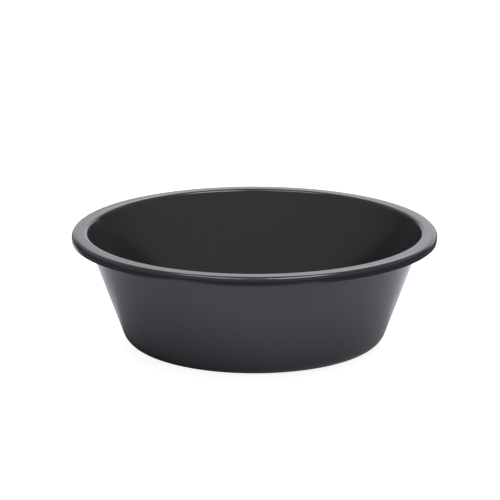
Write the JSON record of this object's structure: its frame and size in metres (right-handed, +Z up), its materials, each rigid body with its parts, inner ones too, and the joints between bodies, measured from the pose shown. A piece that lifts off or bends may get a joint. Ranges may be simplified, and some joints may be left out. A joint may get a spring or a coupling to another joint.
{
  "type": "mortar mixing tub",
  "caption": "Shallow round mixing tub with a straight sloping wall, a flat floor on a low standing ring, and a flat rim flange turned down into a skirt.",
  "frame": {"origin": "centre of the base, on the surface that the tub stands on", "axes": "+Z up along the tub's axis of revolution, from the standing ring to the rim; +X and +Y level, and alike because the tub is round"},
  "size_m": [0.43, 0.43, 0.135],
  "materials": {
    "tub_plastic": "satin"
  },
  "bodies": {
    "root": {"tub_body": "tub_plastic"}
  },
  "joints": []
}
